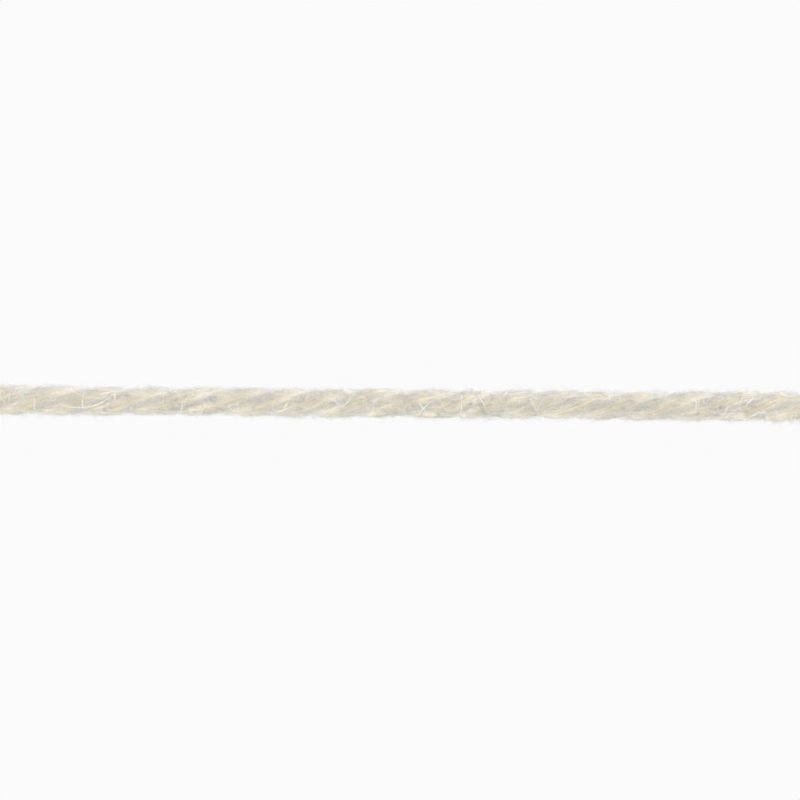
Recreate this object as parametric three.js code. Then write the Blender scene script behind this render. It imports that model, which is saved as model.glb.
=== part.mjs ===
// A cut length of soft four-ply cotton yarn that lies straight on a table.
// Four singles wind round each other in an S twist, with no core between them.
// X runs along the strand and +Z is up. Sizes are millimetres.

import * as THREE from 'three';

// Driving dimensions of the strand
const STRAND_LENGTH = 84;
const CREST_DIAMETER = 2.5; // over the crests of two opposite plies
const PLY_ROUNDNESS = 0.6; // radius of the outer face of one ply
const PLY_GAP = 0.35; // between the flanks of two neighbours, before they lean
const INNER_LEAN = 0.6; // radians that a ply's inner edge leans past its neighbour
const LEAN_REACH = 1.0; // distance from the middle where the lean begins
const PRESSED_DEPTH = 0.11; // how far the table flattens a crest underneath
const END_BLOOM = 0.14; // how far the plies open at a cut end
const END_BLOOM_LENGTH = 4;
const CUT_EDGE = 0.25; // length of the soft edge round a cut ply
const CUT_FULLNESS = 0.82; // section of a ply at the cut itself

// How finely the surface is stepped
const STEPS_ALONG = 104;
const STEPS_AROUND = 14;
const FLANK_SOFTNESS = 12; // higher gives a sharper corner between face and flank

const QUARTER_TURN = Math.PI / 2;
const FLANK_BEARING = 1.5 * QUARTER_TURN; // from outward to where a neighbour presses
const PLY_DISTANCE = CREST_DIAMETER / 2 - PLY_ROUNDNESS;

// Where along the strand each ply crests at the +Y edge, one row for each full turn
const TURNS = [
  { ply_1: -46.0, ply_2: -42.0, ply_3: -38.0, ply_4: -33.9 },
  { ply_1: -29.9, ply_2: -25.8, ply_3: -21.7, ply_4: -17.5 },
  { ply_1: -13.1, ply_2: -9.5, ply_3: -5.7, ply_4: -1.8 },
  { ply_1: 3.1, ply_2: 6.6, ply_3: 10.3, ply_4: 14.0 },
  { ply_1: 17.5, ply_2: 21.4, ply_3: 25.6, ply_4: 29.8 },
  { ply_1: 33.3, ply_2: 37.3, ply_3: 41.3, ply_4: 45.3 },
];

// The singles, with how full each was spun and its colour
const PLIES = [
  { name: 'ply_1', fullness: 1.0, colour: 0xe9e2cf },
  { name: 'ply_2', fullness: 0.95, colour: 0xe6dfcb },
  { name: 'ply_3', fullness: 1.0, colour: 0xebe4d2 },
  { name: 'ply_4', fullness: 1.05, colour: 0xede6d5 },
];

// Thick and thin stretches that spinning leaves, as a share of the diameter
const STRETCHES = [
  { at: -42.0, share: 1.0 },
  { at: -30.6, share: 1.02 },
  { at: -21.9, share: 0.94 },
  { at: -13.1, share: 0.98 },
  { at: -4.4, share: 1.01 },
  { at: 4.4, share: 0.99 },
  { at: 13.1, share: 0.99 },
  { at: 21.9, share: 1.01 },
  { at: 30.6, share: 1.05 },
  { at: 42.0, share: 1.02 },
];

// A smooth curve through a table's rows, read at any place along the strand
function smoothCurve(places, values) {
  const curve = new THREE.CubicInterpolant(places, values, 1);
  return (place) => curve.evaluate(place)[0];
}

const crestPlaces = TURNS.flatMap((turn) => PLIES.map((ply) => turn[ply.name]));
const quartersWoundAt = smoothCurve(crestPlaces, crestPlaces.map((place, count) => count));
const shareAt = smoothCurve(STRETCHES.map((row) => row.at), STRETCHES.map((row) => row.share));

// Opens the plies over the last stretch before either cut end
function bloomAt(place) {
  const fromEnd = STRAND_LENGTH / 2 - Math.abs(place);
  return END_BLOOM * (1 - THREE.MathUtils.smoothstep(fromEnd, 0, END_BLOOM_LENGTH));
}

// How far a ply's surface lies from the ply's own middle, in a direction measured
// from the outward one: the face is round, and two neighbours press the flanks flat
function plyReach(direction, roundness, toNeighbour) {
  let sum = roundness ** -FLANK_SOFTNESS;
  for (const side of [-1, 1]) {
    const facing = Math.cos(direction - side * FLANK_BEARING);
    if (facing > 0) {
      sum += (toNeighbour / facing) ** -FLANK_SOFTNESS;
    }
  }
  return sum ** (-1 / FLANK_SOFTNESS);
}

// One ring of points round a ply, at one place along the strand
function plyRing(ply, index, place, section) {
  const share = shareAt(place);
  const distance = (PLY_DISTANCE + bloomAt(place)) * share;
  const roundness = PLY_ROUNDNESS * share * ply.fullness;
  const toNeighbour = distance * Math.SQRT1_2 - PLY_GAP / 2;
  const sideways = (index - quartersWoundAt(place)) * QUARTER_TURN;
  const axisHeight = distance + PLY_ROUNDNESS * share - PRESSED_DEPTH;
  const ring = [];
  for (let step = 0; step < STEPS_AROUND; step += 1) {
    const direction = (step * 2 * Math.PI) / STEPS_AROUND;
    const reach = section * plyReach(direction, roundness, toNeighbour);
    const outward = distance + reach * Math.cos(direction);
    const across = reach * Math.sin(direction);
    const fromMiddle = Math.hypot(outward, across);
    const lean = INNER_LEAN * Math.max(0, 1 - fromMiddle / LEAN_REACH);
    const bearing = sideways + Math.atan2(across, outward) + lean;
    const height = axisHeight + fromMiddle * Math.sin(bearing);
    ring.push(place, fromMiddle * Math.cos(bearing), Math.max(0, height));
  }
  return ring;
}

// Places of the rings, with the section of the ply there
function stations() {
  const half = STRAND_LENGTH / 2;
  const inner = half - CUT_EDGE;
  const list = [{ place: -half, section: CUT_FULLNESS }];
  for (let step = 0; step <= STEPS_ALONG; step += 1) {
    list.push({ place: -inner + (2 * inner * step) / STEPS_ALONG, section: 1 });
  }
  list.push({ place: half, section: CUT_FULLNESS });
  return list;
}

// A closed skin over the rings, with a flat fan across each cut end
function plyGeometry(ply, index) {
  const rings = stations().map(({ place, section }) => plyRing(ply, index, place, section));
  const triangles = [];
  for (let ring = 0; ring + 1 < rings.length; ring += 1) {
    for (let step = 0; step < STEPS_AROUND; step += 1) {
      const next = (step + 1) % STEPS_AROUND;
      const here = ring * STEPS_AROUND;
      const there = here + STEPS_AROUND;
      triangles.push(here + step, here + next, there + step);
      triangles.push(here + next, there + next, there + step);
    }
  }
  const last = (rings.length - 1) * STEPS_AROUND;
  for (let step = 1; step + 1 < STEPS_AROUND; step += 1) {
    triangles.push(0, step + 1, step);
    triangles.push(last, last + step, last + step + 1);
  }
  const geometry = new THREE.BufferGeometry();
  geometry.setAttribute('position', new THREE.Float32BufferAttribute(rings.flat(), 3));
  geometry.setIndex(triangles);
  geometry.computeVertexNormals();
  return geometry;
}

// One single of the strand, in its own undyed shade
function plyMesh(ply, index) {
  const material = new THREE.MeshStandardMaterial({
    color: ply.colour,
    roughness: 0.95,
    metalness: 0,
  });
  const mesh = new THREE.Mesh(plyGeometry(ply, index), material);
  mesh.name = ply.name;
  return mesh;
}

const strand = new THREE.Group();
PLIES.forEach((ply, index) => strand.add(plyMesh(ply, index)));

// The strand lies with the middle of its box on the Z axis and its flats on the table
const middle = new THREE.Box3().setFromObject(strand).getCenter(new THREE.Vector3());
strand.position.set(-middle.x, -middle.y, 0);

const group = new THREE.Group();
group.add(strand);

export default group;
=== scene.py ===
import logging
import math
from collections.abc import Sequence
from dataclasses import dataclass
from enum import Enum

import bpy
import numpy as np
from bpy.types import Material, Node, NodeSocket, NodeTree, Object
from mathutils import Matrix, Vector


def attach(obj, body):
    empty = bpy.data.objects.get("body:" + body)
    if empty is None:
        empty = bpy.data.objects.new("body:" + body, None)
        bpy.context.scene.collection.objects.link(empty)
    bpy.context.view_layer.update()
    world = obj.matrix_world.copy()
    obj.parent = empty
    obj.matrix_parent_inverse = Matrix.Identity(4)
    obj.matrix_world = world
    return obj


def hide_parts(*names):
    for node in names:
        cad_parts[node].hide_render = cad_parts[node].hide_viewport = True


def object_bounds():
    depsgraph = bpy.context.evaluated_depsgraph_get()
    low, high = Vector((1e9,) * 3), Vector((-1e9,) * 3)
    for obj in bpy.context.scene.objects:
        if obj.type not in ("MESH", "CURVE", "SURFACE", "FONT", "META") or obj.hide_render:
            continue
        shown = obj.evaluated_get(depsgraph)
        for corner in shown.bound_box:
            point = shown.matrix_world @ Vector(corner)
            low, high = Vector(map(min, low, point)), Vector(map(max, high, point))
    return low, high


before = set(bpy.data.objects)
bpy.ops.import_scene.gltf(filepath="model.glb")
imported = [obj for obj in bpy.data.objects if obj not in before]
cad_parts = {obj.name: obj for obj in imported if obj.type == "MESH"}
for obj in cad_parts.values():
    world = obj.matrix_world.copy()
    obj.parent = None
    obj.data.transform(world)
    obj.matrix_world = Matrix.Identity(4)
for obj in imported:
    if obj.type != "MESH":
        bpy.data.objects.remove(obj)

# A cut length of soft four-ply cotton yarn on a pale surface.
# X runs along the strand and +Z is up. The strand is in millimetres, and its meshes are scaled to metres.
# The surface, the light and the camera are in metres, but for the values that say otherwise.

Array = np.ndarray
Colour = tuple[float, float, float]
Pair = tuple[float, float]

CAD_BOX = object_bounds()
LOG = logging.getLogger("yarn")
MM = 0.001  # metres in a millimetre
QUARTER_TURN = math.pi / 2
FLANK_BEARING = 1.5 * QUARTER_TURN  # from outward to where a neighbour presses
FIBRE_SLANT = 0.78  # radians in a millimetre that a fibre turns back round its ply
CORD_POINTS = 57  # on the path of the strand

# Thickness of single fibres, least and most, and of their tips, as shares of the usual
LAID_THICKNESS = (0.75, 1.2)
LAID_TIP = 0.45
LOOSE_THICKNESS = (0.7, 1.2)
LOOSE_TIP = 0.4
TIP_STEEPNESS = 4  # higher keeps a laid fibre level for longer before its tips dip

# Where a fibre's sides and its two ends lie in its own square of the baking map
SIDES_FROM = (0.04, 0.06)
SIDES_SIZE = (0.84, 0.88)
END_MIDDLE = (0.94, 0.25)
END_SIZE = (0.03, 0.2)
TO_OTHER_END = (0, 0.5)

# Where along the strand each ply crests at the +Y edge, one row for each full turn
TURNS = [
    {"ply_1": -46.0, "ply_2": -42.0, "ply_3": -38.0, "ply_4": -33.9},
    {"ply_1": -29.9, "ply_2": -25.8, "ply_3": -21.7, "ply_4": -17.5},
    {"ply_1": -13.1, "ply_2": -9.5, "ply_3": -5.7, "ply_4": -1.8},
    {"ply_1": 3.1, "ply_2": 6.6, "ply_3": 10.3, "ply_4": 14.0},
    {"ply_1": 17.5, "ply_2": 21.4, "ply_3": 25.6, "ply_4": 29.8},
    {"ply_1": 33.3, "ply_2": 37.3, "ply_3": 41.3, "ply_4": 45.3},
]

# How full each single was spun
FULLNESS = {"ply_1": 1.0, "ply_2": 0.95, "ply_3": 1.0, "ply_4": 1.05}
PLIES = list(FULLNESS)

# Thick and thin stretches that spinning leaves, as a share of the diameter
STRETCHES = [
    {"at": -42.0, "share": 1.0},
    {"at": -30.6, "share": 1.02},
    {"at": -21.9, "share": 0.94},
    {"at": -13.1, "share": 0.98},
    {"at": -4.4, "share": 1.01},
    {"at": 4.4, "share": 0.99},
    {"at": 13.1, "share": 0.99},
    {"at": 21.9, "share": 1.01},
    {"at": 30.6, "share": 1.05},
    {"at": 42.0, "share": 1.02},
]


@dataclass(frozen=True)
class StrayHair:
    """One hair that stands out on top of the strand, as a chain of arcs seen from above."""

    at: float  # where it starts, along the strand
    across: float  # and across it
    heading: float  # which way it sets off, in degrees to the left of +X
    arcs: tuple[tuple[float, float], ...]  # the length of each arc and the degrees that it turns to the left

    def route(self, points: int) -> Array:
        """Follow the arcs at an even pace.

        Args:
            points: How many points to place.

        Returns:
            Points along and across the strand.
        """
        lengths, turns = np.array(self.arcs).T
        run = np.linspace(0, lengths.sum(), points)
        joints = np.concatenate([[0], np.cumsum(lengths)])
        heading = np.radians(self.heading + np.interp(run, joints, np.concatenate([[0], np.cumsum(turns)])))
        steps = np.stack([np.cos(heading), np.sin(heading)], axis=-1) * run[1]
        moves = np.cumsum((steps[1:] + steps[:-1]) / 2, axis=0)
        return np.array([self.at, self.across]) + np.concatenate([np.zeros((1, 2)), moves])


# The hairs that the photo shows on top, listed from one end of the strand to the other
STRAY_HAIRS = [
    StrayHair(at=-34.1, across=-0.1, heading=80, arcs=((0.9, 10),)),
    StrayHair(at=-31.9, across=-0.9, heading=82, arcs=((1.2, 20),)),
    StrayHair(at=-30.4, across=-1.1, heading=90, arcs=((1.4, -108), (4.6, 58))),
    StrayHair(at=-27.6, across=-0.9, heading=100, arcs=((1.7, -20),)),
    StrayHair(at=-24.9, across=0.1, heading=78, arcs=((0.8, 20),)),
    StrayHair(at=-19.1, across=-0.9, heading=75, arcs=((1.0, 20),)),
    StrayHair(at=-15.1, across=-0.6, heading=60, arcs=((0.9, -60), (0.95, -185), (1.05, -90))),
    StrayHair(at=-10.1, across=-0.7, heading=90, arcs=((1.0, -70),)),
    StrayHair(at=-8.3, across=0.2, heading=50, arcs=((0.7, -5),)),
    StrayHair(at=-6.1, across=0.1, heading=60, arcs=((0.45, -95), (0.75, -30))),
    StrayHair(
        at=-5.1, across=0.2, heading=-128, arcs=((0.3, 20), (0.15, 80), (0.2, 0), (0.15, 75), (1.2, 8))
    ),
    StrayHair(at=1.6, across=-1.0, heading=56, arcs=((1.4, -17),)),
    StrayHair(at=1.7, across=0.0, heading=-53, arcs=((1.25, 5),)),
    StrayHair(at=5.3, across=-0.9, heading=82, arcs=((1.9, 15),)),
    StrayHair(at=6.9, across=0.6, heading=-56, arcs=((1.05, 0),)),
    StrayHair(at=8.9, across=0.6, heading=50, arcs=((0.8, -8),)),
    StrayHair(at=11.2, across=0.7, heading=-55, arcs=((1.35, -15), (0.15, 138), (1.3, -16))),
    StrayHair(at=13.8, across=1.0, heading=75, arcs=((1.1, -150),)),
    StrayHair(at=18.2, across=0.3, heading=75, arcs=((0.7, 25),)),
    StrayHair(at=21.9, across=0.5, heading=70, arcs=((0.9, 28),)),
    StrayHair(at=25.7, across=-0.3, heading=72, arcs=((0.9, 28),)),
    StrayHair(at=28.2, across=-0.7, heading=57, arcs=((0.9, 8),)),
    StrayHair(at=30.1, across=0.0, heading=58, arcs=((1.0, -24),)),
    StrayHair(at=30.5, across=-1.0, heading=42, arcs=((1.7, -50),)),
]


class Lift(Enum):
    """How a loose fibre leaves the skin of the strand."""

    LAID = "both ends are caught and the middle is a low arch"
    FREE = "one end is caught and the other stands off"


def smooth_curve(places: Array, values: Array, at: Array) -> Array:
    """Read a smooth curve through a table's rows.

    Args:
        places: Where the rows stand, in rising order.
        values: The value of each row.
        at: The places to read; those past an end read the end's value.

    Returns:
        The curve's value at each place.
    """
    at = np.clip(at, places[0], places[-1])
    secants = np.diff(values) / np.diff(places)
    slopes = np.concatenate([secants[:1], (secants[1:] + secants[:-1]) / 2, secants[-1:]])
    row = np.clip(np.searchsorted(places, at, side="right") - 1, 0, len(places) - 2)
    step = places[row + 1] - places[row]
    part = (at - places[row]) / step
    return (
        (1 + 2 * part) * (1 - part) ** 2 * values[row]
        + part * (1 - part) ** 2 * step * slopes[row]
        + part**2 * (3 - 2 * part) * values[row + 1]
        + part**2 * (part - 1) * step * slopes[row + 1]
    )


def smooth_step(value: Array, low: float, high: float) -> Array:
    """Rise softly from 0 at low to 1 at high."""
    part = np.clip((value - low) / (high - low), 0, 1)
    return part * part * (3 - 2 * part)


def averaged(values: Array, reach: int) -> Array:
    """Smooth rows of values with a moving average.

    Args:
        values: One row for each fibre.
        reach: How many neighbours on each side take part.

    Returns:
        The smoothed rows, of the same shape.
    """
    padded = np.pad(values, ((0, 0), (reach, reach)), mode="edge")
    width = 2 * reach + 1
    return sum(padded[:, start:start + values.shape[1]] for start in range(width)) / width


def tapered(span: Array, tip: float) -> Array:
    """Thin fibres to a share of their thickness at both tips, where span runs from -1 to 1."""
    return tip + (1 - tip) * np.sqrt(np.maximum(1 - span**2, 0))


def swayed(
    draw: np.random.Generator, shape: tuple[int, int], part: Array, spread: float, sways: Pair
) -> Array:
    """Let fibres sway from side to side.

    Args:
        draw: The source of random numbers.
        shape: One row for each fibre, and one column.
        part: Places along a fibre, as shares of its length.
        spread: How far they sway.
        sways: The fewest and the most sways in one fibre.

    Returns:
        How far aside each fibre lies at each place.
    """
    height = draw.normal(0, spread, shape)
    count = draw.uniform(*sways, shape)
    return height * np.sin(2 * math.pi * (part * count + draw.random(shape)))


@dataclass(frozen=True)
class Winding:
    """How the plies wind round each other, from the sizes that the strand's solids have."""

    length: float
    crest_diameter: float = 2.5
    ply_roundness: float = 0.6
    pressed_depth: float = 0.11
    end_bloom: float = 0.14
    end_bloom_length: float = 4.0
    ply_gap: float = -0.02  # neighbours press this far into each other
    flank_softness: float = 12.0
    packing: float = 0.93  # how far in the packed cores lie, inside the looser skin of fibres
    spun_fullness: float = 0.99  # how thick a packed core is
    inmost_skin: float = 0.9  # the skin's least distance from the middle, as a share of a ply's
    hollow_fade: Pair = (-0.05, 0.15)  # where the painted glow of the valleys ends, from the crests outward
    samples: int = 841  # places along the strand at which its middle is worked out

    @property
    def half(self) -> float:
        """Half the strand's length."""
        return self.length / 2

    @property
    def ply_distance(self) -> float:
        """From the middle of the strand to the middle of a ply."""
        return self.crest_diameter / 2 - self.ply_roundness

    def quarters(self, place: Array) -> Array:
        """How many quarter turns are wound at a place, counted from the first row of the table."""
        crests = np.array([turn[ply] for turn in TURNS for ply in PLIES])
        return smooth_curve(crests, np.arange(len(crests), dtype=float), place)

    def share(self, place: Array) -> Array:
        """How thick the strand is at a place, as a share of the usual thickness."""
        ends = np.array([row["at"] for row in STRETCHES])
        return smooth_curve(ends, np.array([row["share"] for row in STRETCHES]), place)

    def loose_distance(self, place: Array) -> Array:
        """How far a ply's middle lies from the strand's, wider where a cut end opens.

        Args:
            place: Places along the strand.

        Returns:
            The distance at each place.
        """
        from_end = self.half - np.abs(place)
        bloom = self.end_bloom * (1 - smooth_step(from_end, 0, self.end_bloom_length))
        return (self.ply_distance + bloom) * self.share(place)

    def distance(self, place: Array) -> Array:
        """How far the middle of a ply's packed core lies from the strand's."""
        return self.packing * self.loose_distance(place)

    def axis_height(self, place: Array) -> Array:
        """How high the strand's middle lies above the table."""
        return self.loose_distance(place) + self.ply_roundness * self.share(place) - self.pressed_depth

    def bearing(self, ply: float, place: Array) -> Array:
        """Which way a ply lies from the strand's middle, in radians from +Y towards +Z."""
        return (ply - self.quarters(place)) * QUARTER_TURN

    def usual_roundness(self, place: Array) -> Array:
        """Radius of the outer face of a packed core of the usual fullness."""
        return self.spun_fullness * self.ply_roundness * self.share(place)

    def roundness(self, ply: int, place: Array) -> Array:
        """Radius of the outer face of one ply's packed core."""
        return self.usual_roundness(place) * FULLNESS[PLIES[ply]]

    def reach(self, ply: int, place: Array, direction: Array) -> Array:
        """How far a ply's skin lies from its own middle, round outside and pressed flat by two neighbours.

        Args:
            ply: Index of the ply.
            place: Places along the strand.
            direction: Directions round the ply, from the outward one.

        Returns:
            The distance in each direction.
        """
        to_neighbour = self.distance(place) * math.sqrt(0.5) - self.ply_gap / 2
        total = self.roundness(ply, place) ** -self.flank_softness
        for side in (-1, 1):
            facing = np.cos(direction - side * FLANK_BEARING)
            total = total + (np.maximum(facing, 0) / to_neighbour) ** self.flank_softness
        return total ** (-1 / self.flank_softness)

    def points(self, ply: int, place: Array, direction: Array, reach: Array) -> Array:
        """Find points round a ply.

        Args:
            ply: Index of the ply.
            place: Places along the strand.
            direction: Directions round the ply, from the outward one.
            reach: How far each point lies from the ply's middle.

        Returns:
            The points, with x, y and z last.
        """
        outward = self.distance(place) + reach * np.cos(direction)
        across = reach * np.sin(direction)
        bearing = self.bearing(ply, place)
        y = outward * np.cos(bearing) - across * np.sin(bearing)
        z = outward * np.sin(bearing) + across * np.cos(bearing)
        return np.stack([place + 0 * y, y - self.middle(), self.axis_height(place) + z], axis=-1)

    def polar(self, place: Array, bearing: Array, radius: Array) -> Array:
        """Find points round the strand's own middle.

        Args:
            place: Places along the strand.
            bearing: Bearings round the strand, from +Y towards +Z.
            radius: How far each point lies from the strand's middle.

        Returns:
            The points, with x, y and z last.
        """
        y = radius * np.cos(bearing) - self.middle()
        z = self.axis_height(place) + radius * np.sin(bearing)
        return np.stack([place + 0 * y, y, z], axis=-1)

    def middle(self) -> float:
        """Find the strand's own Y where the middle of its box lies.

        Returns:
            The middle of the highest and the lowest Y of the skin.
        """
        place = np.linspace(-self.half, self.half, self.samples)
        sides = []
        for ply in range(len(PLIES)):
            bearing = self.bearing(ply, place)
            reach = self.roundness(ply, place) / self.spun_fullness
            for side in (-1, 1):
                sides.append(self.loose_distance(place) * np.cos(bearing) + side * reach)
        return (np.max(sides) + np.min(sides)) / 2

    def skin(self, place: Array, bearing: Array) -> Array:
        """How far the strand's outer skin lies from its middle.

        Args:
            place: Places along the strand.
            bearing: Bearings round the strand, from +Y towards +Z.

        Returns:
            The distance of the outermost ply in each bearing.
        """
        distance = self.distance(place)
        best = distance * self.inmost_skin
        for ply in range(len(PLIES)):
            turned = bearing - self.bearing(ply, place)
            inside = self.roundness(ply, place) ** 2 - (distance * np.sin(turned)) ** 2
            met = distance * np.cos(turned) + np.sqrt(np.maximum(inside, 0))
            best = np.where((inside > 0) & (np.cos(turned) > 0), np.maximum(best, met), best)
        return best

    def hollow(self, points: Array) -> Array:
        """How far points lie in the valley between two plies, which sets where shade and glow are painted.

        Args:
            points: Points on or near the strand, with x, y and z last.

        Returns:
            0 at a crest and outside it, 1 midway between two crests.
        """
        place = points[..., 0]
        across = points[..., 1] + self.middle()
        up = points[..., 2] - self.axis_height(place)
        crest = self.distance(place) + self.usual_roundness(place)
        turn = np.arctan2(up, across) / QUARTER_TURN + self.quarters(place)
        between = (1 - np.cos(2 * math.pi * turn)) / 2
        fade_from, fade_to = self.hollow_fade
        return between * (1 - smooth_step(np.hypot(across, up), crest + fade_from, crest + fade_to))

    def valley(self, place: Array) -> Array:
        """How far the bottom of a valley between two plies lies from the strand's middle."""
        to_neighbour = self.distance(place) * math.sqrt(0.5)
        return to_neighbour + np.sqrt(np.maximum(self.usual_roundness(place) ** 2 - to_neighbour**2, 0))


@dataclass(frozen=True)
class Unevenness:
    """Soft lumps in a ply, where staples of fibre start and end."""

    seed: int = 11
    waves: int = 16
    height: float = 0.011
    coarsest: float = 0.4  # radians in a millimetre
    finest: float = 3.2
    most_around: int = 3  # waves round a ply, either way
    ply_shift: float = 2.4  # radians that the waves move on from one ply to the next

    def at(self, ply: int, place: Array, direction: Array) -> Array:
        """Read the lumps on a ply.

        Args:
            ply: Index of the ply.
            place: Places along the strand.
            direction: Directions round the ply.

        Returns:
            How far the skin stands out there.
        """
        draw = np.random.default_rng(self.seed)
        total = 0 * (place + direction)
        for _ in range(self.waves):
            along = draw.uniform(self.coarsest, self.finest)
            around = int(draw.integers(-self.most_around, self.most_around + 1))
            start = draw.uniform(0, 2 * math.pi)
            shift = self.ply_shift * ply * (1 + around)
            total = total + np.cos(along * place + around * direction + start + shift)
        return self.height * total / math.sqrt(self.waves / 2)


@dataclass(frozen=True)
class CottonColoursWithPaintedLight:
    """The undyed shades of the strand, as linear colours. Crest, flank and valley hold painted light: the
    crests are painted darker and greyer, as painted shade, and the flanks and valleys lighter, the valleys
    warmest, as a painted glow of light that passes and bounces between the plies.
    """

    # painted shade on the crests, painted glow on the flanks and in the valleys
    crest: Colour = (0.645, 0.59, 0.442)
    flank: Colour = (0.88, 0.83, 0.69)
    valley: Colour = (0.865, 0.765, 0.545)
    down: Colour = (0.88, 0.88, 0.86)
    # painted shade: the fuzz is a darker grey than the other loose cotton, so that the halo round the strand
    # looks grey
    fuzz: Colour = (0.67, 0.67, 0.665)
    loose: Colour = (0.93, 0.925, 0.90)


def feed(tree: NodeTree, node: Node, inputs: dict) -> None:
    """Give a node's inputs their values.

    Args:
        tree: The node tree.
        node: The node.
        inputs: A plain value or another node's output for each input, by name or number.
    """
    for name, value in inputs.items():
        if isinstance(value, NodeSocket):
            tree.links.new(value, node.inputs[name])
        else:
            node.inputs[name].default_value = value


def add_node(tree: NodeTree, kind: str, inputs: dict, **settings: object) -> Node:
    """Add a shader node.

    Args:
        tree: The node tree.
        kind: The node's type, without the word ShaderNode.
        inputs: What its inputs take, by name or number.
        settings: The node's own settings.

    Returns:
        The node.
    """
    node = tree.nodes.new(f"ShaderNode{kind}")
    for name, value in settings.items():
        setattr(node, name, value)
    feed(tree, node, inputs)
    return node


def combined(tree: NodeTree, operation: str, first: object, second: object) -> NodeSocket:
    """Combine two numbers or outputs with a Math node."""
    return add_node(tree, "Math", {0: first, 1: second}, operation=operation).outputs[0]


@dataclass(frozen=True)
class StapleAndPaintedLight:
    """The streaks and patches of the staple, and the painted shade on the crests and painted glow in the
    valleys, as a node group that each cotton material uses.
    """

    name: str = "staple fibre and painted light"
    scales: Pair = (1.0, 0.23)  # of the streaks and the patches
    details: Pair = (3.0, 2.0)
    flank_from: float = 0.0  # how deep in a valley the painted lighter colour of the flanks sets in
    # how deep in a valley the painted warm glow of the valleys sets in
    valley_from: float = 0.4
    noise_middle: float = 0.5

    def build(self) -> NodeTree:
        """Build the node group.

        Returns:
            A group that puts out a colour and a height.
        """
        group = bpy.data.node_groups.new(self.name, "ShaderNodeTree")
        for way, kind, names in (
            ("INPUT", "Color", ("Crest", "Flank", "Valley")),
            ("INPUT", "Vector", ("Pattern",)),
            ("INPUT", "Float", ("Streaks", "Patches")),
            ("OUTPUT", "Color", ("Colour",)),
            ("OUTPUT", "Float", ("Height",)),
        ):
            for name in names:
                group.interface.new_socket(name=name, in_out=way, socket_type=f"NodeSocket{kind}")
        given = group.nodes.new("NodeGroupInput").outputs
        result = group.nodes.new("NodeGroupOutput")
        hollow = add_node(group, "Attribute", {}, attribute_name="hollow").outputs["Fac"]
        tone = add_node(group, "Attribute", {}, attribute_name="tone").outputs["Fac"]
        noises, swings = [], []
        for name, scale, detail in zip(("Streaks", "Patches"), self.scales, self.details):
            pattern = {"Vector": given["Pattern"], "Scale": scale, "Detail": detail}
            noise = add_node(group, "TexNoise", pattern).outputs[0]
            swing = combined(group, "SUBTRACT", noise, self.noise_middle)
            noises.append(noise)
            swings.append(combined(group, "MULTIPLY", swing, given[name]))
        # From crest to flank to valley colour by depth in a valley: painted shade on the crests, painted glow
        # in the valleys
        depth = combined(group, "ADD", hollow, swings[1])
        colour = given["Crest"]
        for name, low in (("Flank", self.flank_from), ("Valley", self.valley_from)):
            span = {"Value": depth, "From Min": low, "From Max": 1.0}
            rise = add_node(group, "MapRange", span, interpolation_type="SMOOTHSTEP").outputs["Result"]
            blend = {0: rise, 6: colour, 7: given[name]}
            colour = add_node(group, "Mix", blend, data_type="RGBA").outputs[2]
        light = combined(group, "ADD", combined(group, "ADD", tone, 1.0), swings[0])
        shade = add_node(group, "VectorMath", {0: colour, "Scale": light}, operation="SCALE")
        feed(group, result, {"Colour": shade.outputs[0], "Height": noises[0]})
        return group


@dataclass(frozen=True)
class CottonFinish:
    """A matte cotton finish with the streaks of its staple, whose crest, flank and valley colours, where they
    differ, paint shade on the crests and a glow in the valleys.
    """

    name: str
    crest: Colour
    flank: Colour
    valley: Colour
    streaks: float = 0.09
    patches: float = 0.14
    pattern_map: str = ""  # a UV map's name, or empty for Object coordinates
    pattern_scale: tuple[float, float, float] = (400.0, 400.0, 400.0)  # streaks in a metre
    bump: float = 0.2
    bump_depth: float = 0.05
    roughness: float = 0.9
    gloss: float = 0.2
    sheen: float = 0.6
    sheen_roughness: float = 0.5

    def build(self, effect: NodeTree) -> Material:
        """Build the material.

        Args:
            effect: The node group of the staple streaks and the painted light.

        Returns:
            The finished material.
        """
        material = bpy.data.materials.new(self.name)
        material.use_nodes = True
        tree = material.node_tree
        if self.pattern_map:
            source = add_node(tree, "UVMap", {}, uv_map=self.pattern_map).outputs["UV"]
        else:
            source = add_node(tree, "TexCoord", {}).outputs["Object"]
        mapping = add_node(tree, "Mapping", {"Vector": source, "Scale": self.pattern_scale})
        fibre = {
            "Crest": (*self.crest, 1),
            "Flank": (*self.flank, 1),
            "Valley": (*self.valley, 1),
            "Pattern": mapping.outputs["Vector"],
            "Streaks": self.streaks,
            "Patches": self.patches,
        }
        staple = add_node(tree, "Group", fibre, node_tree=effect)
        height = {"Strength": self.bump, "Distance": self.bump_depth * MM, "Height": staple.outputs["Height"]}
        looks = {
            "Base Color": staple.outputs["Colour"],
            "Normal": add_node(tree, "Bump", height).outputs["Normal"],
            "Roughness": self.roughness,
            "Specular IOR Level": self.gloss,
            "Sheen Weight": self.sheen,
            "Sheen Roughness": self.sheen_roughness,
        }
        feed(tree, tree.nodes["Principled BSDF"], looks)
        return material


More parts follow.
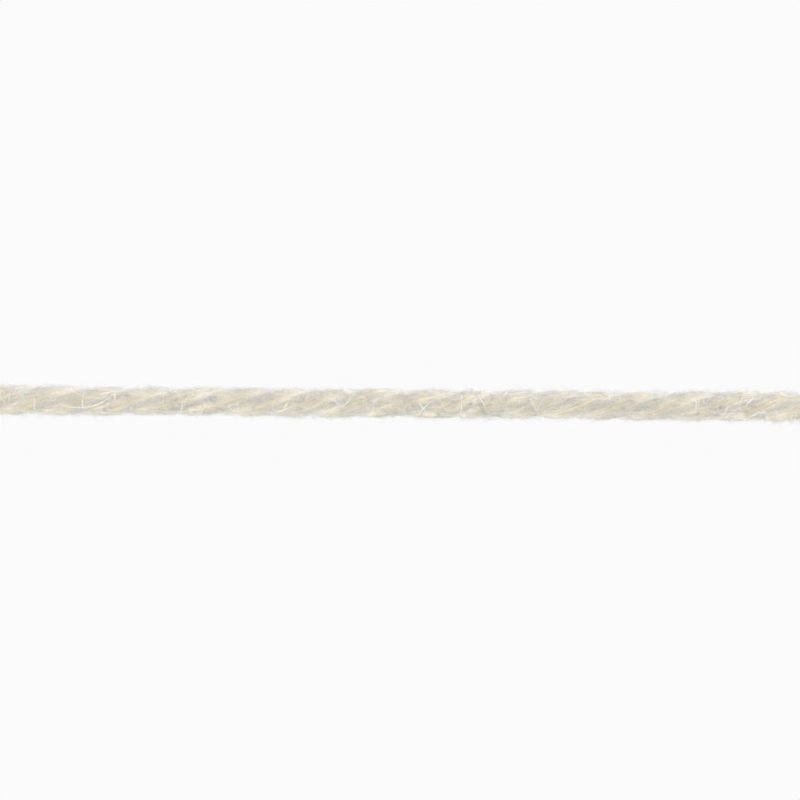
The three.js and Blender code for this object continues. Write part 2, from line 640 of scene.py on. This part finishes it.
@dataclass(frozen=True)
class Surface:
    """A mesh in the making, in millimetres."""

    points: Array
    faces: list[Sequence[int]]
    charts: dict[str, Array]  # corner coordinates of each UV map
    values: dict[str, Array]  # numbers at each point, by attribute name

    def make(self, name: str, material: Material) -> Object:
        """Make the Blender object and dress it.

        Args:
            name: The piece's name.
            material: Its finish.

        Returns:
            The piece, at the origin, riding with the strand.
        """
        mesh = bpy.data.meshes.new(name)
        mesh.from_pydata((self.points * MM).tolist(), [], self.faces)
        for chart, corners in self.charts.items():
            layer = mesh.uv_layers.new(name=chart)
            layer.uv.foreach_set("vector", np.ascontiguousarray(corners, np.float32).ravel())
        for label, numbers in self.values.items():
            layer = mesh.attributes.new(label, "FLOAT", "POINT")
            layer.data.foreach_set("value", np.ascontiguousarray(numbers, np.float32).ravel())
        mesh.shade_smooth()
        mesh.materials.append(material)
        piece = bpy.data.objects.new(name, mesh)
        bpy.context.scene.collection.objects.link(piece)
        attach(piece, "root")
        triangles = sum(len(face) - 2 for face in self.faces)
        LOG.info("%s: %d triangles", name, triangles)
        return piece


def ring_quads(rings: int, sides: int) -> Array:
    """Join rings of points, each to the next, by four-sided faces.

    Args:
        rings: How many rings there are.
        sides: How many points a ring has.

    Returns:
        The points of each face.
    """
    side = np.arange(sides)
    after = (side + 1) % sides
    step = np.arange(rings - 1)[:, None] * sides
    quads = np.stack([step + side, step + after, step + after + sides, step + side + sides], axis=-1)
    return quads.reshape(-1, 4)


def quad_corners(left: Array, right: Array, low: Array, high: Array) -> Array:
    """Place such faces on a map, with their corners in the order of their points."""
    corners = [(left, low), (left, high), (right, high), (right, low)]
    return np.stack([np.stack(corner, axis=-1) for corner in corners], axis=-2).reshape(-1, 2)


def round_corners(middle: Pair, size: Pair, angles: Array) -> Array:
    """Place the corners of a round end on a map."""
    return middle + size * np.stack([np.cos(angles), np.sin(angles)], axis=-1)


def tubes(
    paths: Array, radii: Array, tones: Array, winding: Winding, sides: int = 3
) -> Surface:
    """Make thin closed tubes, one for each fibre.

    Args:
        paths: Points of each fibre, as fibres, points and x, y, z.
        radii: Radius at each point of each fibre.
        tones: How much lighter or darker each fibre is.
        winding: The strand that the fibres lie on.
        sides: How many sides a tube has.

    Returns:
        One joined surface with the maps and numbers that the cotton finishes read.
    """
    fibres, count = paths.shape[:2]
    paths = paths.copy()
    paths[..., 2] = np.maximum(paths[..., 2], radii)
    tangents = np.gradient(paths, axis=1)
    tangents /= np.linalg.norm(tangents, axis=-1, keepdims=True)
    guide = np.zeros((fibres, 3))
    guide[np.arange(fibres), np.abs(tangents[:, 0]).argmin(axis=1)] = 1
    normals = np.empty_like(paths)
    for step in range(count):
        along = tangents[:, step]
        guide = guide - (guide * along).sum(axis=1, keepdims=True) * along
        guide /= np.linalg.norm(guide, axis=1, keepdims=True)
        normals[:, step] = guide
    binormals = np.cross(tangents, normals)
    angles = np.arange(sides) * 2 * math.pi / sides
    one_way = np.cos(angles)[:, None] * normals[:, :, None]
    other_way = np.sin(angles)[:, None] * binormals[:, :, None]
    ring = paths[:, :, None] + radii[:, :, None, None] * (one_way + other_way)
    ring[..., 2] = np.maximum(ring[..., 2], 0)

    quads = ring_quads(count, sides)
    last = (count - 1) * sides
    fan = np.array([[0, turn + 1, turn] for turn in range(1, sides - 1)])
    ends = np.concatenate([fan, last + fan[:, ::-1]])

    # Each fibre has its own square on the baking map, with its two ends in a strip beside it
    grid = math.ceil(math.sqrt(fibres))
    left = np.repeat(SIDES_FROM[0] + SIDES_SIZE[0] * np.arange(count - 1) / (count - 1), sides)
    right = left + SIDES_SIZE[0] / (count - 1)
    low = np.tile(SIDES_FROM[1] + SIDES_SIZE[1] * np.arange(sides) / sides, count - 1)
    high = low + SIDES_SIZE[1] / sides
    quad_map = quad_corners(left, right, low, high)
    spots = round_corners(END_MIDDLE, END_SIZE, angles)
    end_map = np.concatenate([spots[fan], spots[fan[:, ::-1]] + TO_OTHER_END])
    faces, chart = [], []
    for fibre in range(fibres):
        base = fibre * count * sides
        faces.extend((quads + base).tolist())
        faces.extend((ends + base).tolist())
        corner = np.array([fibre % grid, fibre // grid])
        chart.append((quad_map + corner) / grid)
        chart.append((end_map.reshape(-1, 2) + corner) / grid)
    points = ring.reshape(-1, 3)
    return Surface(
        points=points,
        faces=faces,
        charts={"OFBake": np.concatenate(chart)},
        values={"hollow": winding.hollow(points), "tone": np.repeat(tones, count * sides)},
    )


@dataclass(frozen=True)
class StrandBody:
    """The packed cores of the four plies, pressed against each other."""

    winding: Winding
    lumps: Unevenness
    rings: int = 481
    sides: int = 28
    cut_edge: float = 0.25
    cut_fullness: float = 0.82
    lumpy: Pair = (-0.5, 0.2)  # cosines of the directions between which the lumps rise
    strips: int = 6  # lengths that a ply has on its baking map
    columns: int = 3  # strips in a row of that map
    rows: int = 9  # of that map, the first for the cut ends
    margins: Pair = (0.01, 0.04)  # along and around, as shares of a strip
    spot: float = 0.045  # radius of a cut end on that map
    lay_spot: float = 0.3  # and on the map of the lay

    def build(self, material: Material) -> Object:
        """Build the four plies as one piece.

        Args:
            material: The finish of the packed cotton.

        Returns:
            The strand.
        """
        half = self.winding.half
        place = np.linspace(-half, half, self.rings)
        direction = np.linspace(-math.pi, math.pi, self.sides, endpoint=False)
        places, directions = np.meshgrid(place, direction, indexing="ij")
        edge = np.clip((half - np.abs(places)) / self.cut_edge, 0, 1)
        section = self.cut_fullness + (1 - self.cut_fullness) * np.sqrt(1 - (1 - edge) ** 2)
        quads = ring_quads(self.rings, self.sides)
        ring, side = np.divmod(np.arange(len(quads)), self.sides)
        points, faces, bake, lay = [], [], [], []
        for ply in range(len(PLIES)):
            start = ply * self.rings * self.sides
            reach = self.winding.reach(ply, places, directions) * section
            outside = smooth_step(np.cos(directions), *self.lumpy)
            reach = reach + outside * self.lumps.at(ply, places, directions)
            skin = self.winding.points(ply, places, directions, reach)
            skin[..., 2] = np.maximum(skin[..., 2], 0)
            points.append(skin.reshape(-1, 3))
            faces.extend((quads + start).tolist())
            bake.append(self.strip_corners(ply, ring, side))
            lay.append(self.lay_corners(place, direction, ring, side))
            for end in (0, 1):
                turned = np.arange(self.sides)[:: 1 if end else -1]
                faces.append((turned + start + end * (self.rings - 1) * self.sides).tolist())
                middle = ((2 * ply + end + 0.5) / (2 * len(PLIES)), 0.5 / self.rows)
                bake.append(round_corners(middle, (self.spot, self.spot), direction[turned]))
                lay.append(round_corners((ply, 0), (self.lay_spot, self.lay_spot), direction[turned]))
        points = np.concatenate(points)
        surface = Surface(
            points=points,
            faces=faces,
            charts={"OFBake": np.concatenate(bake), "Lay": np.concatenate(lay)},
            values={"hollow": self.winding.hollow(points), "tone": np.zeros(len(points))},
        )
        return surface.make("strand", material)

    def strip_corners(self, ply: int, ring: Array, side: Array) -> Array:
        """Place a ply's faces on the baking map, where it has its strips in two rows.

        Args:
            ply: Index of the ply.
            ring: Index of each face along the ply.
            side: Index of each face round the ply.

        Returns:
            The corners on the map, face by face.
        """
        each = math.ceil((self.rings - 1) / self.strips)
        strip, step = np.divmod(ring, each)
        along, around = self.margins
        length, width = 1 - 2 * along, 1 - 2 * around
        left = (strip % self.columns + along + length * step / each) / self.columns
        row = 1 + 2 * ply + strip // self.columns
        low = (row + around + width * side / self.sides) / self.rows
        right = left + length / each / self.columns
        return quad_corners(left, right, low, low + width / self.sides / self.rows)

    def lay_corners(
        self, place: Array, direction: Array, ring: Array, side: Array
    ) -> Array:
        """Place a ply's faces on the map that follows the lay of the fibres, along them first, then across.

        Args:
            place: Places of the rings.
            direction: Directions of the sides.
            ring: Index of each face along the ply.
            side: Index of each face round the ply.

        Returns:
            The corners on the map, face by face.
        """
        low = direction[side]
        corners = quad_corners(place[ring], place[ring + 1], low, low + 2 * math.pi / self.sides)
        return corners - FIBRE_SLANT * corners[:, :1] * (0, 1)


@dataclass(frozen=True)
class PlyFibres:
    """The staple fibres in the skin of one ply, which lie nearly along the strand."""

    winding: Winding
    lumps: Unevenness
    first_seed: int = 100  # the seed of each next ply is one more
    count: int = 500
    points: int = 9
    radius: float = 0.014
    shortest: float = 1.8
    longest: float = 4.2
    slant_spread: float = 0.16
    sway: float = 0.06  # radians round the ply
    sways: Pair = (0.6, 1.6)
    face: float = 1.85  # radians from outward where the neighbour covers a fibre
    least_room: float = 0.1  # radians either way that even the longest fibre has
    usual_lift: float = 0.006
    highest_lift: float = 0.05
    dip: float = 0.03  # how far both tips go into the ply
    apart: float = 0.002  # keeps a fibre's points apart where a cut end holds them back
    tone_spread: float = 0.03

    def build(self, ply: int, material: Material) -> Object:
        """Lay the fibres of one ply.

        Args:
            ply: Index of the ply.
            material: The finish of the laid fibres.

        Returns:
            The joined fibres.
        """
        draw = np.random.default_rng(self.first_seed + ply)
        shape = (self.count, 1)
        half = self.winding.half
        length = draw.uniform(self.shortest, self.longest, shape)
        centre = draw.uniform(-half, half, shape)
        slant = FIBRE_SLANT + draw.normal(0, self.slant_spread, shape)
        room = np.maximum(self.face - slant * length / 2, self.least_room)
        middle = draw.uniform(-1, 1, shape) * room
        part = np.linspace(-0.5, 0.5, self.points)[None]
        place = np.clip(centre + length * part, -half, half) + self.apart * part
        direction = middle + slant * length * part + swayed(draw, shape, part, self.sway, self.sways)
        lift = np.minimum(draw.exponential(self.usual_lift, shape), self.highest_lift)
        arch = lift - (lift + self.dip) * np.abs(2 * part) ** TIP_STEEPNESS
        reach = self.winding.reach(ply, place, direction) + self.lumps.at(ply, place, direction) + arch
        paths = self.winding.points(ply, place, direction, reach)
        radii = self.radius * draw.uniform(*LAID_THICKNESS, shape) * tapered(2 * part, LAID_TIP)
        tones = draw.normal(0, self.tone_spread, self.count)
        return tubes(paths, radii, tones, self.winding).make(f"fibres_{ply + 1}", material)


@dataclass(frozen=True)
class ValleyWeb:
    """The soft web of fibre in the bottom of each valley between two plies, and in the strand's middle."""

    winding: Winding
    points: int = 281
    sides: int = 12
    radius: float = 0.30
    fill: float = 0.16  # how far up the valley it comes
    short: float = 0.15  # how far inside a cut end it stops

    def build(self, material: Material) -> Object:
        """Lay a soft roll in each valley, sunk in the plies on both sides, and one down the middle.

        Args:
            material: The finish of the laid fibres.

        Returns:
            The joined rolls.
        """
        end = self.winding.half - self.short
        place = np.linspace(-end, end, self.points)
        radius = self.winding.valley(place) + self.fill - self.radius
        bearings = [self.winding.bearing(ply + 0.5, place) for ply in range(len(PLIES))]
        paths = [self.winding.polar(place, bearing, radius) for bearing in bearings]
        paths = np.stack([*paths, self.winding.polar(place, 0 * place, 0 * place)])
        radii = np.full(paths.shape[:2], self.radius)
        surface = tubes(paths, radii, np.zeros(len(paths)), self.winding, self.sides)
        return surface.make("valley_web", material)


@dataclass(frozen=True)
class ValleyFibres:
    """The fibres that two neighbouring plies share, which lie on the web between them."""

    winding: Winding
    seed: int = 53
    count: int = 160  # in each valley
    points: int = 8
    radius: float = 0.012
    shortest: float = 1.2
    longest: float = 3.2
    fill: float = 0.155  # how far up the valley the web comes
    height: float = 0.015  # how far above the web they lie
    crowding: float = 1.5  # 1 spreads those heights evenly, more keeps them low
    climb: float = 0.1  # how much higher a fibre lies for each radian aside
    width: float = 0.26  # spread of their bearing, in radians
    dip: float = 0.05  # how far both tips go into the web
    tone_spread: float = 0.03

    def build(self, material: Material) -> Object:
        """Lay the fibres in all the valleys.

        Args:
            material: The finish of the laid fibres.

        Returns:
            The joined fibres.
        """
        draw = np.random.default_rng(self.seed)
        paths, radii = [], []
        shape = (self.count, 1)
        part = np.linspace(-0.5, 0.5, self.points)[None]
        room = self.winding.half - self.longest / 2
        for ply in range(len(PLIES)):
            length = draw.uniform(self.shortest, self.longest, shape)
            place = draw.uniform(-room, room, shape) + length * part
            aside = draw.normal(0, self.width, shape) + draw.normal(0, self.width, shape) * part
            bearing = self.winding.bearing(ply + 0.5, place) + aside
            up = self.fill + draw.random(shape) ** self.crowding * self.height + self.climb * np.abs(aside)
            dip = self.dip * np.abs(2 * part) ** TIP_STEEPNESS
            paths.append(self.winding.polar(place, bearing, self.winding.valley(place) + up - dip))
            radii.append(self.radius * draw.uniform(*LAID_THICKNESS, shape) * tapered(2 * part, LAID_TIP))
        paths, radii = np.concatenate(paths), np.concatenate(radii)
        tones = draw.normal(0, self.tone_spread, len(paths))
        return tubes(paths, radii, tones, self.winding).make("valley_fibres", material)


@dataclass(frozen=True)
class LooseFibres:
    """One kind of fibre that has worked out of the plies."""

    name: str
    winding: Winding
    count: int
    points: int
    shortest: float
    longest: float
    radius: float
    lean: float  # radians from along the strand, as a spread
    bend: float  # radians in a millimetre that a fibre curves
    lowest: float  # lift off the skin
    highest: float
    crowding: float  # 1 spreads the lifts evenly, more keeps them low
    lift: Lift
    seed: int
    tone_spread: float = 0.04
    sways: Pair = (0.5, 2.0)
    past_end: float = 0.4  # how far past a cut end a fibre may lie
    arch_fullness: float = 0.6  # lower keeps a laid fibre's arch full nearly to its tips
    free_curve: float = 1.4  # higher keeps a free fibre low for longer from its root
    evening: int = 8  # the skin below is averaged, either way, over a fibre's points divided by this

    def build(self, material: Material) -> Object:
        """Lay the fibres.

        Args:
            material: The finish of the loose fibres.

        Returns:
            The joined fibres.
        """
        draw = np.random.default_rng(self.seed)
        shape = (self.count, 1)
        length = draw.uniform(self.shortest, self.longest, shape)
        part = np.linspace(0, 1, self.points)[None]
        heading = draw.normal(0, self.lean, shape) + math.pi * draw.integers(0, 2, shape)
        curve = draw.normal(0, self.bend, shape) * length * part
        heading = heading + curve + swayed(draw, shape, part, self.bend, self.sways)
        step = length / (self.points - 1)
        along = np.cumsum(np.cos(heading) * step, axis=1)
        around = np.cumsum(np.sin(heading) * step, axis=1) / (self.winding.crest_diameter / 2)
        place = draw.uniform(-self.winding.half, self.winding.half, shape) + along
        bearing = draw.uniform(0, 2 * math.pi, shape) + around
        inside = (np.abs(place) < self.winding.half + self.past_end).all(axis=1)
        rise = draw.uniform(0, 1, shape) ** self.crowding * (self.highest - self.lowest) + self.lowest
        if self.lift is Lift.LAID:
            arch = np.sin(math.pi * part) ** self.arch_fullness * (rise + self.radius) - self.radius
        else:
            arch = part**self.free_curve * rise - self.radius * (1 - part)
        skin = averaged(self.winding.skin(place, bearing), max(1, self.points // self.evening))
        paths = self.winding.polar(place, bearing, skin + arch)
        radii = self.radius * draw.uniform(*LOOSE_THICKNESS, shape) * tapered(2 * part - 1, LOOSE_TIP)
        tones = draw.normal(0, self.tone_spread, self.count)
        return tubes(paths[inside], radii[inside], tones[inside], self.winding).make(self.name, material)


@dataclass(frozen=True)
class StrayHairs:
    """The single hairs that stand out on top of the strand."""

    winding: Winding
    points: int = 28
    radius: float = 0.037
    lift: float = 0.32
    tip: float = 0.5  # how thick a tip is, as a share of the middle
    arch_fullness: float = 0.3  # lower keeps a hair's arch full nearly to its tips
    rounds: int = 6  # times that a hair's bearing is corrected by the skin found there
    tone: float = 0.03

    def build(self, material: Material) -> Object:
        """Lay each stray hair over the top of the strand.

        Args:
            material: The finish of the loose fibres.

        Returns:
            The joined hairs.
        """
        paths = np.array([self.path(hair) for hair in STRAY_HAIRS])
        taper = tapered(np.linspace(-1, 1, self.points), self.tip)
        radii = np.repeat(self.radius * taper[None], len(paths), axis=0)
        return tubes(paths, radii, np.full(len(paths), self.tone), self.winding).make("stray_hairs", material)

    def path(self, hair: StrayHair) -> Array:
        """Lay one hair.

        Args:
            hair: The hair's own course, seen from above.

        Returns:
            Points that lie on the skin, with both tips in it.
        """
        x, across = hair.route(self.points).T
        across = across + self.winding.middle()
        bearing = np.full(self.points, QUARTER_TURN)
        for _ in range(self.rounds):
            radius = self.winding.skin(x, bearing)
            bearing = np.arccos(np.clip(across / radius, -1, 1))
        radius = averaged(self.winding.skin(x, bearing)[None], 3)[0]
        part = np.linspace(0, 1, self.points)
        arch = np.sin(math.pi * part) ** self.arch_fullness * (self.lift + self.radius)
        radius = radius + arch - self.radius
        height = np.sqrt(np.maximum(radius**2 - across**2, 0))
        height = averaged(height[None], 2)[0]
        return np.stack([x, across - self.winding.middle(), self.winding.axis_height(x) + height], axis=-1)


@dataclass(frozen=True)
class EndTufts:
    """The tips of the fibres that a cut end leaves."""

    winding: Winding
    seed: int = 71
    count: int = 90  # at each end of each ply
    points: int = 7
    radius: float = 0.022
    tip: float = 0.5  # how thick a tip is, as a share of its root
    shortest: float = 0.5
    longest: float = 1.7
    inside: float = 0.4  # how far a tip is rooted in its ply
    outermost: float = 0.85  # how near the ply's skin a root may be, as a share of the way
    spread: float = 0.14
    drift_curve: float = 1.5  # more keeps a tip straight for longer
    tone_spread: float = 0.04

    def build(self, material: Material) -> Object:
        """Set the tips in both ends of each ply.

        Args:
            material: The finish of the loose fibres.

        Returns:
            The joined tips.
        """
        draw = np.random.default_rng(self.seed)
        shape = (self.count, 1)
        part = np.linspace(0, 1, self.points)[None]
        paths = []
        for end in (-1, 1):
            for ply in range(len(PLIES)):
                direction = draw.uniform(-math.pi, math.pi, shape)
                full = np.sqrt(draw.random(shape)) * self.outermost
                length = draw.uniform(self.shortest, self.longest, shape)
                place = end * (self.winding.half - self.inside + length * part)
                cut = end * self.winding.half + 0 * place
                reach = full * self.winding.reach(ply, cut, direction)
                root = self.winding.points(ply, cut, direction, reach)
                sideways = draw.normal(0, self.spread, (self.count, 1, 2))
                root[..., 0] = place
                root[..., 1:] += sideways * (length * part**self.drift_curve)[..., None]
                paths.append(root)
        paths = np.concatenate(paths)
        taper = np.linspace(1, self.tip, self.points)[None]
        radii = self.radius * draw.uniform(*LOOSE_THICKNESS, (len(paths), 1)) * taper
        tones = draw.normal(0, self.tone_spread, len(paths))
        return tubes(paths, radii, tones, self.winding).make("cut_tips", material)


@dataclass(frozen=True)
class Studio:
    """A plain pale surface under soft white light."""

    paleness: float = 0.9625  # linear, of the surface and of what lies behind it
    floor_side: float = 4.0  # metres
    floor_light: float = 3.0  # what the surface throws back at the strand
    floor_shade: float = 0.8  # the same close to the strand, in its own shade
    shade_from: float = 1.5  # millimetres from the middle of the strand
    shade_to: float = 4.5
    sky: float = 1.375  # light from the horizon
    dimmer_above: float = 0.35  # how much less comes from straight above
    key_energy: float = 0.25  # watts
    key_side: float = 0.5
    key_place: tuple[float, float, float] = (0.0, 0.45, 0.30)
    bounces: int = 16  # light goes from fibre to fibre this many times

    def build(self) -> None:
        """Build the surface, the sky and the key light."""
        scene = bpy.context.scene
        scene.view_settings.view_transform = "Standard"
        scene.cycles.denoising_prefilter = "ACCURATE"
        scene.cycles.max_bounces = self.bounces
        scene.cycles.diffuse_bounces = self.bounces
        self.lay_surface()
        self.hang_sky()

        lamp = bpy.data.lights.new("key", "AREA")
        lamp.energy = self.key_energy
        lamp.size = self.key_side
        key = bpy.data.objects.new("key", lamp)
        scene.collection.objects.link(key)
        key.location = self.key_place
        _, aside, up = self.key_place
        key.rotation_euler = (-math.atan2(aside, up), 0, 0)

    def lay_surface(self) -> None:
        """Lay the surface, which throws less light back close to the strand."""
        bpy.ops.object.select_all(action="DESELECT")
        bpy.ops.mesh.primitive_plane_add(size=self.floor_side, location=(0, 0, 0))
        floor = bpy.context.object
        floor.name = "floor"
        material = bpy.data.materials.new("pale surface")
        material.use_nodes = True
        tree = material.node_tree
        parts = add_node(tree, "SeparateXYZ", {0: add_node(tree, "TexCoord", {}).outputs["Object"]})
        rise = {
            "Value": add_node(tree, "Math", {0: parts.outputs["Y"]}, operation="ABSOLUTE").outputs[0],
            "From Min": self.shade_from * MM,
            "From Max": self.shade_to * MM,
            "To Min": self.floor_shade,
            "To Max": self.floor_light,
        }
        light = add_node(tree, "MapRange", rise, interpolation_type="SMOOTHSTEP").outputs["Result"]
        looks = {
            "Base Color": (0, 0, 0, 1),
            "Specular IOR Level": 0,
            "Emission Color": (1, 1, 1, 1),
            "Emission Strength": self.shine(tree, light),
        }
        feed(tree, tree.nodes["Principled BSDF"], looks)
        material.cycles.emission_sampling = "NONE"
        floor.data.materials.append(material)

    def hang_sky(self) -> None:
        """Hang the sky, which is brighter at the horizon than above."""
        world = bpy.data.worlds.new("soft white")
        world.use_nodes = True
        bpy.context.scene.world = world
        tree = world.node_tree
        parts = add_node(tree, "SeparateXYZ", {0: add_node(tree, "TexCoord", {}).outputs["Generated"]})
        fall = {0: parts.outputs["Z"], 1: -self.dimmer_above, 2: self.sky}
        light = add_node(tree, "Math", fall, operation="MULTIPLY_ADD").outputs[0]
        feed(tree, tree.nodes["Background"], {"Color": (1, 1, 1, 1), "Strength": self.shine(tree, light)})
        world.cycles.sampling_method = "NONE"

    def shine(self, tree: NodeTree, light: NodeSocket) -> NodeSocket:
        """Let something look pale to the camera and light the strand at another strength.

        Args:
            tree: The node tree.
            light: How strongly it lights the strand.

        Returns:
            The strength for both.
        """
        seen = add_node(tree, "LightPath", {}).outputs["Is Camera Ray"]
        return add_node(tree, "Mix", {0: seen, 2: light, 3: self.paleness}, data_type="FLOAT").outputs[0]


@dataclass(frozen=True)
class PhotoCamera:
    """A camera straight above the strand, which runs across the whole picture."""

    seen_width: float = 0.070  # metres at the height of the strand
    distance: float = 0.30
    sensor: float = 36.0  # millimetres, as the lens is
    tilt: float = math.radians(0.484)  # how much the strand falls to the right
    above: float = 0.30 * MM  # how far above the strand the picture's middle is
    nearest: float = 0.01  # what lies between these two distances is seen
    farthest: float = 20.0

    def place(self, height: float) -> None:
        """Set the camera.

        Args:
            height: How high the strand's middle lies, in metres.
        """
        data = bpy.data.cameras.new("camera")
        data.sensor_width = self.sensor
        data.lens = self.sensor * self.distance / self.seen_width
        data.clip_start = self.nearest
        data.clip_end = self.farthest
        camera = bpy.data.objects.new("camera", data)
        camera.location = (0, self.above, height + self.distance)
        camera.rotation_euler = (0, 0, self.tilt)
        bpy.context.scene.collection.objects.link(camera)
        bpy.context.scene.camera = camera


def main() -> None:
    logging.basicConfig(level=logging.INFO, format="%(message)s")
    low, high = CAD_BOX
    winding = Winding(length=(high.x - low.x) / MM)
    lumps = Unevenness()
    place = np.linspace(-winding.half, winding.half, CORD_POINTS)
    height = winding.axis_height(place)
    PhotoCamera().place(float(height.mean()) * MM)

    effect = StapleAndPaintedLight().build()
    colours = CottonColoursWithPaintedLight()
    # crest, flank and valley: painted shade on the crests, painted glow on the flanks and in the valleys
    shades = (colours.crest, colours.flank, colours.valley)
    along_lay = {"pattern_map": "Lay", "pattern_scale": (0.35, 4.0, 1.0)}
    packed = CottonFinish("packed cotton", *shades, **along_lay, sheen=1.0).build(effect)
    laid = CottonFinish("laid fibre", *shades, sheen=1.0).build(effect)
    # the grey of the fuzzy fibre is painted shade
    plain = {"downy fibre": colours.down, "fuzzy fibre in painted shade": colours.fuzz, "loose fibre": colours.loose}
    downy, fuzzy, free = (
        CottonFinish(name, shade, shade, shade, streaks=0.08, patches=0.0).build(effect)
        for name, shade in plain.items()
    )

    strand = StrandBody(winding, lumps).build(packed)
    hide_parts(*PLIES)
    fibres = [PlyFibres(winding, lumps).build(ply, laid) for ply in range(len(PLIES))]
    loose = [
        LooseFibres(
            "hairs", winding, count=380, points=14, shortest=1.5, longest=6.0, radius=0.014, lean=0.7,
            bend=0.25, lowest=0.03, highest=0.32, crowding=1.6, lift=Lift.LAID, seed=31,
        )
    ]
    for layer, seed in ((1, 33), (2, 35)):
        down = LooseFibres(
            f"down_{layer}", winding, count=9600, points=4, shortest=0.6, longest=1.6, radius=0.0102,
            lean=0.8, bend=0.4, lowest=0.02, highest=0.26, crowding=1.2, lift=Lift.LAID, seed=seed,
        )
        loose.append(down)
    loose += [
        LooseFibres(
            "fuzz", winding, count=7000, points=5, shortest=0.6, longest=1.9, radius=0.0115, lean=0.9,
            bend=0.5, lowest=0.04, highest=0.60, crowding=1.8, lift=Lift.FREE, seed=37,
        ),
        LooseFibres(
            "flyaways", winding, count=340, points=14, shortest=1.2, longest=5.0, radius=0.013, lean=0.9,
            bend=0.5, lowest=0.2, highest=0.9, crowding=1.5, lift=Lift.FREE, seed=41,
        ),
    ]
    fibres += [kind.build(finish) for kind, finish in zip(loose, (free, downy, downy, fuzzy, free))]
    fibres.append(ValleyWeb(winding).build(laid))
    fibres.append(ValleyFibres(winding).build(laid))
    fibres.append(StrayHairs(winding).build(free))
    fibres.append(EndTufts(winding).build(free))

    Studio().build()
    LOG.info("strand: %.0f mm long, %d pieces of fibre", winding.length, len(fibres))


if __name__ == "__main__":
    main()
